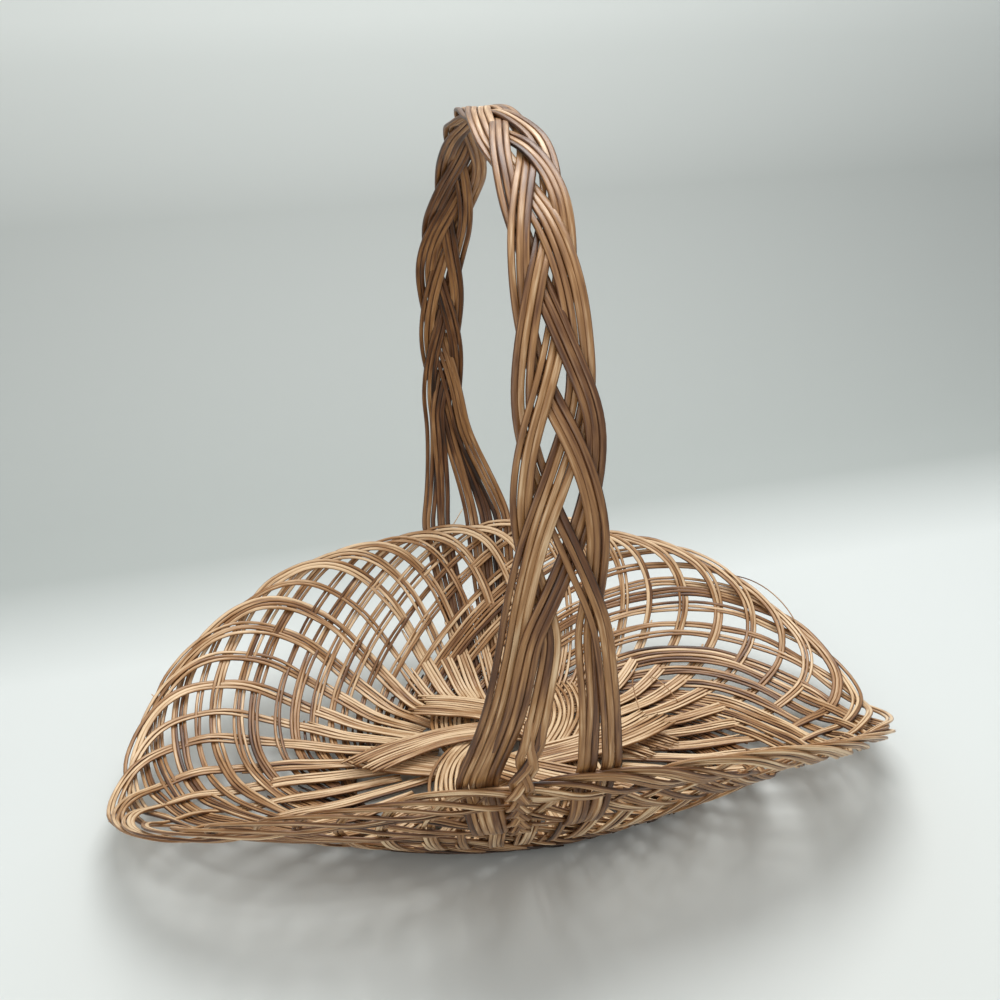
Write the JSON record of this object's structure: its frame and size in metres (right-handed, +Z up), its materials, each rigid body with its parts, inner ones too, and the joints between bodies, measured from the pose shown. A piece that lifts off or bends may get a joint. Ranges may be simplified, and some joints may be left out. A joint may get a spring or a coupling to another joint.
{
  "type": "foraging basket",
  "caption": "Shallow oval open-work basket of split cane with a raised back and front, an oval whirled base and a tall plaited arch handle.",
  "frame": {"origin": "on the surface that the basket stands on, under the middle of its outline", "axes": "+Z up; X along the basket's length, tip to tip, with the base set 4 mm towards +X; the handle arches over the width, along Y, with its front foot at -Y"},
  "size_m": [0.4901, 0.3634, 0.4051],
  "materials": {
    "cane_wall": "satin split cane, mid brown",
    "cane_base": "satin split cane, golden tan",
    "cane_handle": "satin split cane, mid brown"
  },
  "bodies": {
    "root": {"stake_01": "cane_wall", "stake_02": "cane_wall", "stake_03": "cane_wall", "stake_04": "cane_wall", "stake_05": "cane_wall", "stake_06": "cane_wall", "stake_07": "cane_wall", "stake_08": "cane_wall", "stake_09": "cane_wall", "stake_10": "cane_wall", "stake_11": "cane_wall", "stake_12": "cane_wall", "stake_13": "cane_wall", "stake_14": "cane_wall", "stake_15": "cane_wall", "stake_16": "cane_wall", "stake_17": "cane_wall", "stake_18": "cane_wall", "stake_19": "cane_wall", "stake_20": "cane_wall", "stake_21": "cane_wall", "stake_22": "cane_wall", "stake_23": "cane_wall", "stake_24": "cane_wall", "stake_25": "cane_wall", "stake_26": "cane_wall", "stake_27": "cane_wall", "stake_28": "cane_wall", "stake_29": "cane_wall", "stake_30": "cane_wall", "stake_31": "cane_wall", "stake_32": "cane_wall", "stake_33": "cane_wall", "stake_34": "cane_wall", "stake_35": "cane_wall", "stake_36": "cane_wall", "stake_37": "cane_wall", "stake_38": "cane_wall", "stake_39": "cane_wall", "stake_40": "cane_wall", "stake_41": "cane_wall", "stake_42": "cane_wall", "stake_43": "cane_wall", "stake_44": "cane_wall", "stake_45": "cane_wall", "stake_46": "cane_wall", "stake_47": "cane_wall", "stake_48": "cane_wall", "base_whirl_1": "cane_base", "base_whirl_2": "cane_base", "base_whirl_3": "cane_base", "base_whirl_4": "cane_base", "base_whirl_5": "cane_base", "base_whirl_6": "cane_base", "handle_strand_1": "cane_handle", "handle_strand_2": "cane_handle", "handle_strand_3": "cane_handle", "handle_strand_4": "cane_handle", "handle_strand_5": "cane_handle"}
  },
  "joints": []
}
